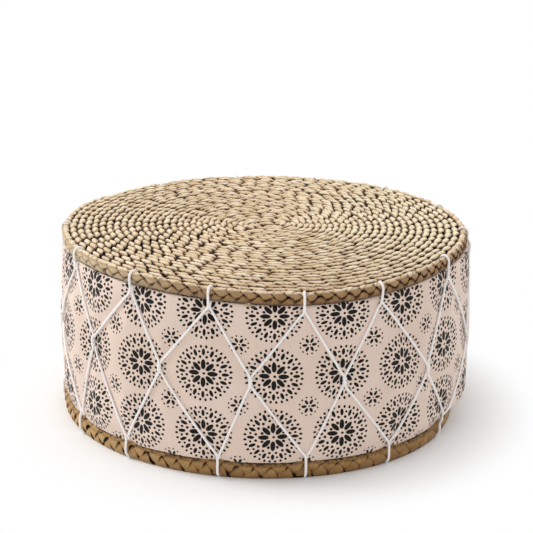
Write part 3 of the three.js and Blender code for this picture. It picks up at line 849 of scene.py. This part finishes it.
def add_node(tree, kind, inputs=None, **settings):
    """Adds a node with its settings and links. kind is its type without the leading ShaderNode."""
    made = tree.nodes.new("ShaderNode" + kind)
    for name, value in settings.items():
        setattr(made, name, value)
    set_inputs(made, inputs or {})
    return made


def start_material(name, look):
    """A new material, and add_node for its own nodes. look is what is the same all over, and it is set on
    the shader itself."""
    material = bpy.data.materials.new(name)
    material.use_nodes = True
    set_inputs(material.node_tree.nodes["Principled BSDF"], look)
    return material, partial(add_node, material.node_tree)


def finish_material(material, colour, height, strength, depth):
    """Links a colour to a material's shader, and a relief of that depth that follows height."""
    tree = material.node_tree
    bump = add_node(tree, "Bump", {"Strength": strength, "Distance": depth, "Height": height})
    set_inputs(tree.nodes["Principled BSDF"], {"Base Color": colour, "Normal": bump})
    return material


def grain(add, place, scale, detail, rotation=(0, 0, 0), **more):
    """Noise stretched to long fibres: scale is how many of them lie in a metre, each way."""
    stretched = add("Mapping", {0: place, "Rotation": rotation, "Scale": scale})
    return add("TexNoise", {"Vector": stretched, "Scale": 1, "Detail": detail, **more})


def two_tones(add, pattern, low, high, first, second):
    """Goes from the first colour to the second as the pattern rises from low to high."""
    share = add("MapRange", [pattern, low, high])
    return add("Mix", {0: share, 6: linear(first), 7: linear(second)}, data_type="RGBA")


def braid_material(name, palest, pale, middle, tucked, deep, rim_pale, rim_deep):
    """Sun-dried reed-mace leaf, twisted damp and plaited: long fine fibres, a dull wax-like sheen on the
    crowns, tones that change from one leaf to the next, painted brown shade down in the plait and down
    the rim's face, and painted light where the mat and rim are made paler."""
    look = {"Roughness": 0.62, "Sheen Weight": 0.08, "Specular IOR Level": 0.35}
    material, add = start_material(name, look)
    uv = add("UVMap", uv_map="UVMap")
    below, face, paler, tucked_shade, crease_shade = [
        add("Attribute", attribute_name=mark).outputs["Fac"]
        for mark in ("below_crest", "outer_face", "paler", "tucked", "pressed_crease_shade")
    ]
    # Fibres about 0.9 mm apart run along the strand
    streak = grain(add, uv, (38, 1100, 1), 3, Roughness=0.6)
    # One leaf's tone holds for about a bead and a half, 22 mm
    leaf = add("MapRange", [grain(add, uv, (46, 30, 1), 1), 0.34, 0.66])
    # Painted shade: the rim's face is lighter near its upper edge and darker towards its foot, with a little
    # of each leaf's own tone
    tone_and_height_shade = add("Math", [below, 0.75], operation="MINIMUM")
    tone_and_height_shade = add("Math", [leaf, 0.3, tone_and_height_shade], operation="MULTIPLY_ADD")
    # The rim's face colour is darker than the top's: partly the leaf's own more golden tone, partly painted
    # shade; rim_deep is its painted shade lower down
    side = add("Mix", {0: tone_and_height_shade, 6: linear(rim_pale), 7: linear(rim_deep)}, data_type="RGBA")
    # Painted light: the palest colour is mixed in where the mat and rim are made paler
    painted_light = add("Math", [paler, 0.66], operation="MULTIPLY")
    # Painted shade: except on that face, the leaf is shaded from 0.4 mm below the crest and dark from 1.5 mm,
    # and it is shaded softly near the other strands and dark in creases, grooves and along the rim's foot
    open_share = add("Math", [1, face], operation="SUBTRACT")
    shades = []
    for mark, low, high, most in ((tucked_shade, 0.4, 2.6, 0.8), (crease_shade, 1.5, 3.4, 0.95)):
        depths = [below, low * MM / FULL_DEPTH, high * MM / FULL_DEPTH]
        sunk = add("MapRange", depths, interpolation_type="SMOOTHSTEP")
        sunk = add("Math", [sunk, open_share], operation="MULTIPLY")
        shade = add("Math", [mark, sunk], operation="MAXIMUM")
        shades.append(add("Math", [shade, most], operation="MULTIPLY"))
    fine = add("MapRange", {0: streak, 1: 0.35, 2: 0.7, 4: 0.3})
    colour = linear(pale)
    # In turn: leaf tone, the rim's face colour, painted light, painted soft shade, painted dark crease shade,
    # and the fibres
    layers = [
        (leaf, linear(middle), "MIX"),
        (face, side, "MIX"),
        (painted_light, linear(palest), "MIX"),
        (shades[0], linear(tucked), "MULTIPLY"),
        (shades[1], linear(deep), "MIX"),
        (fine, linear(deep), "MIX"),
    ]
    for share, tone, mode in layers:
        colour = add("Mix", {0: share, 6: colour, 7: tone}, data_type="RGBA", blend_type=mode)
    return finish_material(material, colour, streak, 0.55, 0.5 * MM)


def printed_cotton():
    """Plain-woven cotton, hand-block-printed in black: a matt cloth with fine crossing threads, faint
    slubs, and a print whose edges bleed a little into the weave."""
    look = {"Roughness": 0.88, "Sheen Weight": 0.15, "Specular IOR Level": 0.25}
    material, add = start_material("block_printed_cotton", look)
    uv = add("UVMap", uv_map="UVMap")
    # The ink runs up to 0.35 mm either way
    bleed = add("TexNoise", {"Vector": uv, "Scale": 420, "Detail": 2}).outputs["Color"]
    offset = add("VectorMath", [bleed, (0.5, 0.5, 0.5)], operation="SUBTRACT")
    moved = add("VectorMath", [offset, (0.7 * MM, 0.7 * MM, 0), uv], operation="MULTIPLY_ADD")
    axes = add("SeparateXYZ", [moved])
    # The block repeats 20 times round the drum
    across, down = TURN * DRUM_RADIUS / 20, 64 * MM

    def block_place(start_u, start_v):
        """How far a place lies from the middle of the nearest block, and at what angle."""
        both = []
        for socket, size, start in ((axes.outputs[0], across, start_u), (axes.outputs[1], down, start_v)):
            shifted = add("Math", [socket, start], operation="SUBTRACT")
            both.append(add("Math", [shifted, size / 2, -size / 2], operation="WRAP"))
        squared = add("Math", [both[0], both[0]], operation="MULTIPLY")
        total = add("Math", [both[1], both[1], squared], operation="MULTIPLY_ADD")
        radius = add("Math", [total], operation="SQRT")
        return radius, add("Math", [both[1], both[0]], operation="ARCTAN2")

    def ring_of_dabs(radius, angle, count, at, half_long, half_wide, start):
        """A ring of oval dabs, 1 on a dab and 0 off it."""
        step = TURN / count
        turned = add("Math", [angle, start * step], operation="SUBTRACT")
        wrapped = add("Math", [turned, step / 2, -step / 2], operation="WRAP")
        arc = add("Math", [wrapped, radius], operation="MULTIPLY")
        wide = add("Math", [arc, half_wide * MM], operation="DIVIDE")
        out = add("Math", [radius, at * MM], operation="SUBTRACT")
        long = add("Math", [out, half_long * MM], operation="DIVIDE")
        wide = add("Math", [wide, wide], operation="MULTIPLY")
        total = add("Math", [long, long, wide], operation="MULTIPLY_ADD")
        return add("MapRange", [total, 1.12, 0.88])

    # Rosettes of leaf dabs and dots, and a small flower between every four of them. Each ring: how many
    # dabs, then in millimetres how far out, half as long and half as wide, and its turn in dabs
    rosette = [
        (1, 0, 2.2, 2.2, 0), (8, 9.4, 5.2, 2.5, 0), (8, 11.6, 1.7, 1.4, 0.5), (16, 17.2, 1.45, 1.45, 0.5),
        (16, 22.0, 3.6, 1.7, 0), (16, 22.6, 1.25, 1.25, 0.5), (32, 27.6, 1.6, 1.25, 0.5),
    ]
    flower = [(1, 0, 1.3, 1.3, 0), (6, 5.0, 2.7, 1.5, 0), (12, 9.6, 0.95, 0.95, 0.5)]
    print_share = 0
    for start, rings in (((across / 2, 38 * MM), rosette), ((0, 38 * MM + down / 2), flower)):
        place = block_place(*start)
        for ring in rings:
            inked = [print_share, ring_of_dabs(*place, *ring)]
            print_share = add("Math", inked, operation="MAXIMUM")
    # Threads 0.5 mm apart are drawn at 1.1 mm, so that they show
    warp, weft = grain(add, uv, (900, 26, 1), 2), grain(add, uv, (26, 900, 1), 2)
    threads = add("Math", [warp, weft], operation="ADD")
    ground = two_tones(add, threads, 0.75, 1.25, "#E3CDBE", "#E8D4C6")
    cloud = add("TexNoise", {"Vector": uv, "Scale": 14, "Detail": 3})
    cloud = add("MapRange", {0: cloud, 1: 0.4, 2: 0.65, 4: 0.5})
    ink = two_tones(add, threads, 0.75, 1.25, "#060504", "#0F0C0B")
    colour = add("Mix", {0: cloud, 6: ground, 7: linear("#DAC2B1")}, data_type="RGBA")
    colour = add("Mix", {0: print_share, 6: colour, 7: ink}, data_type="RGBA")
    return finish_material(material, colour, threads, 0.2, 0.3 * MM)


def cotton_cord():
    """Bleached cotton cord, loosely plied: a soft matt white with the fine lay of its yarns."""
    look = {"Roughness": 0.9, "Sheen Weight": 0.2, "Specular IOR Level": 0.2}
    material, add = start_material("plied_cotton_cord", look)
    uv = add("UVMap", uv_map="UVMap")
    # Yarns about 0.5 mm wide, slanting round the cord
    yarn = grain(add, uv, (500, 1900, 1), 2, rotation=(0, 0, 0.6))
    colour = two_tones(add, yarn, 0.35, 0.65, "#F1ECE9", "#FDFAF8")
    return finish_material(material, colour, yarn, 0.5, 0.25 * MM)


def polyester_wadding():
    """Needled polyester wadding: an off-white felt of crossing fibres, with no gloss."""
    material, add = start_material("needled_wadding", {"Roughness": 0.95, "Sheen Weight": 0.3})
    place = add("TexCoord").outputs["Object"]
    # Tufts about 4 mm across
    fluff = add("TexNoise", {"Vector": place, "Scale": 260, "Detail": 6})
    colour = two_tones(add, fluff, 0.35, 0.65, "#DDD7CC", "#F1EDE5")
    return finish_material(material, colour, fluff, 0.8, 1.5 * MM)


def mango_plywood():
    """Mango plywood, sanded and left raw: long face grain, and darker lines of glue on the edge."""
    material, add = start_material("sanded_mango_plywood", {"Roughness": 0.7, "Specular IOR Level": 0.3})
    place = add("TexCoord").outputs["Object"]
    # Grain lines about 5 mm apart
    lines = grain(add, place, (9, 190, 190), 5, Distortion=0.4)
    colour = two_tones(add, lines, 0.35, 0.68, "#DDBE90", "#B98E58")
    # Veneers are 2.4 mm thick
    height = add("SeparateXYZ", [place]).outputs[2]
    layer = add("Math", [height, 2.4 * MM, 0], operation="WRAP")
    glue = add("Math", [layer, 0.25 * MM], operation="LESS_THAN")
    colour = add("Mix", {0: glue, 6: colour, 7: linear("#8E6B40")}, data_type="RGBA")
    return finish_material(material, colour, lines, 0.25, 0.3 * MM)


def split_cane():
    """Cane, scraped and split: a smooth skin with long fibres and darker rings where leaves grew."""
    look = {"Roughness": 0.42, "Specular IOR Level": 0.45, "Coat Weight": 0.08}
    material, add = start_material("scraped_cane", look)
    place = add("TexCoord").outputs["Object"]
    # Fibres 0.5 mm wide are drawn at 2.4 mm, so that they show
    fibre = grain(add, place, (420, 420, 14), 4)
    colour = two_tones(add, fibre, 0.3, 0.7, "#C9A365", "#A67C42")
    # Leaf rings come about every 70 mm up the rod
    wavering = add("TexNoise", {"Vector": place, "Scale": 9, "Detail": 1})
    height = add("SeparateXYZ", [place]).outputs[2]
    height = add("Math", [wavering, 0.11, height], operation="MULTIPLY_ADD")
    ring = add("Math", [height, 70 * MM, 0], operation="WRAP")
    ring = add("Math", [ring, 1.6 * MM], operation="LESS_THAN")
    colour = add("Mix", {0: ring, 6: colour, 7: linear("#7A5628")}, data_type="RGBA")
    return finish_material(material, colour, fibre, 0.2, 0.3 * MM)


def finish_with(material, *pieces):
    for piece in pieces:
        piece.data.materials.clear()
        piece.data.materials.append(material)


# palest is painted light, tucked and deep are painted shade (deep also colours the fibres), and the rim's
# face colours are partly painted shade
seat_material = braid_material(
    "plaited_reed_mace_bleached", palest="#FFF0CB", pale="#FFEBCC", middle="#E3C698",
    tucked="#A87440", deep="#1E1007", rim_pale="#C79F68", rim_deep="#75491F",
)
base_material = braid_material(
    "plaited_reed_mace_smoked", palest="#E0BA80", pale="#B08A52", middle="#94703C",
    tucked="#B98D5C", deep="#1C0F07", rim_pale="#C0965C", rim_deep="#86602F",
)
finish_with(seat_material, *seat_strands, fibres)
finish_with(base_material, *base_strands)
finish_with(printed_cotton(), cotton_cover)
finish_with(cotton_cord(), *cords)
finish_with(polyester_wadding(), wadding)
plywood, cane = mango_plywood(), split_cane()
for name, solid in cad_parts.items():
    if name.endswith("_board"):
        finish_with(plywood, solid)
    elif "reed" in name or "hoop" in name:
        finish_with(cane, solid)


# ---- floor, light and camera ----

# The photo's frame in pixels: its side, the lens' focal length in them, and where the lens' axis meets it
PHOTO_SIDE = 533
FOCAL_PIXELS = 1567.5
LENS_AXIS = (263.5, 266.3)
# Where the camera stands, and by how many degrees it looks down and is rolled
CAMERA_PLACE = (0, -1.654, 0.672)
LOOKING_DOWN = 17.37
ROLLED = 0.89


def clear_nodes(owner):
    """Empties the nodes of a material or a world, and gives add_node for new ones."""
    owner.use_nodes = True
    owner.node_tree.nodes.clear()
    return partial(add_node, owner.node_tree)


def seen_plainly(add):
    """1 for what the camera sees, also in a mirror or through glass, and 0 for other light."""
    ray = add("LightPath").outputs
    seen = ray["Is Camera Ray"]
    for name in ("Is Glossy Ray", "Is Transmission Ray"):
        seen = add("Math", [seen, ray[name]], operation="MAXIMUM")
    return seen


def white_floor():
    """A white studio floor that keeps the soft shadow and fades to plain white away from the stool."""
    bm = bmesh.new()
    bmesh.ops.create_grid(bm, x_segments=8, y_segments=8, size=6)
    mesh = bpy.data.meshes.new("studio_floor")
    bm.to_mesh(mesh)
    bm.free()
    floor = new_object("studio_floor", mesh)
    material = bpy.data.materials.new("matt_white_floor")
    add = clear_nodes(material)
    matt = add("BsdfDiffuse", {"Color": (0.92, 0.92, 0.92, 1)})
    plain = add("Emission", {"Color": (1, 1, 1, 1), "Strength": 1})
    place = add("TexCoord").outputs["Object"]
    distance = add("VectorMath", [place], operation="LENGTH")
    # The fade begins under the stool's edge and ends 0.1 m outside it
    fade = add("MapRange", [distance, 0.22, 0.32], interpolation_type="SMOOTHSTEP")
    share = add("Math", [seen_plainly(add), fade], operation="MULTIPLY")
    add("OutputMaterial", [add("MixShader", [share, matt, plain])])
    mesh.materials.append(material)


def studio_light():
    """Even white surroundings, a large lamp high on the left and a weaker one behind on the right."""
    world = bpy.data.worlds.new("white_studio")
    bpy.context.scene.world = world
    add = clear_nodes(world)
    soft = add("Background", {"Color": (1, 1, 1, 1), "Strength": 0.77})
    plain = add("Background", {"Color": (1, 1, 1, 1), "Strength": 1})
    add("OutputWorld", [add("MixShader", [seen_plainly(add), soft, plain])])
    for name, place, watts in (("window_lamp", (-1.65, 0.35, 1.6), 25), ("fill_lamp", (1.5, 0.8, 1.5), 6)):
        lamp = bpy.data.lights.new(name, "AREA")
        lamp.shape = "DISK"
        lamp.size = 1.1
        lamp.energy = watts
        lit = new_object(name, lamp)
        lit.location = place
        lit.rotation_mode = "QUATERNION"
        # Aimed at the stool's middle
        lit.rotation_quaternion = (Vector((0, 0, 0.1)) - lit.location).to_track_quat("-Z", "Y")


def place_camera():
    """The photo's view, from 1.75 m away with a 106 mm lens on a 36 mm frame."""
    data = bpy.data.cameras.new("camera")
    data.sensor_width = 36
    data.lens = FOCAL_PIXELS / PHOTO_SIDE * data.sensor_width
    data.shift_x = (PHOTO_SIDE / 2 - LENS_AXIS[0]) / PHOTO_SIDE
    data.shift_y = (LENS_AXIS[1] - PHOTO_SIDE / 2) / PHOTO_SIDE
    data.clip_start, data.clip_end = 0.05, 50
    camera = new_object("camera", data)
    tilt = Matrix.Rotation(math.radians(90 - LOOKING_DOWN), 4, "X")
    roll = Matrix.Rotation(math.radians(ROLLED), 4, "Z")
    camera.matrix_world = Matrix.Translation(CAMERA_PLACE) @ tilt @ roll
    bpy.context.scene.camera = camera


white_floor()
studio_light()
place_camera()
bpy.context.scene.view_settings.view_transform = "Standard"
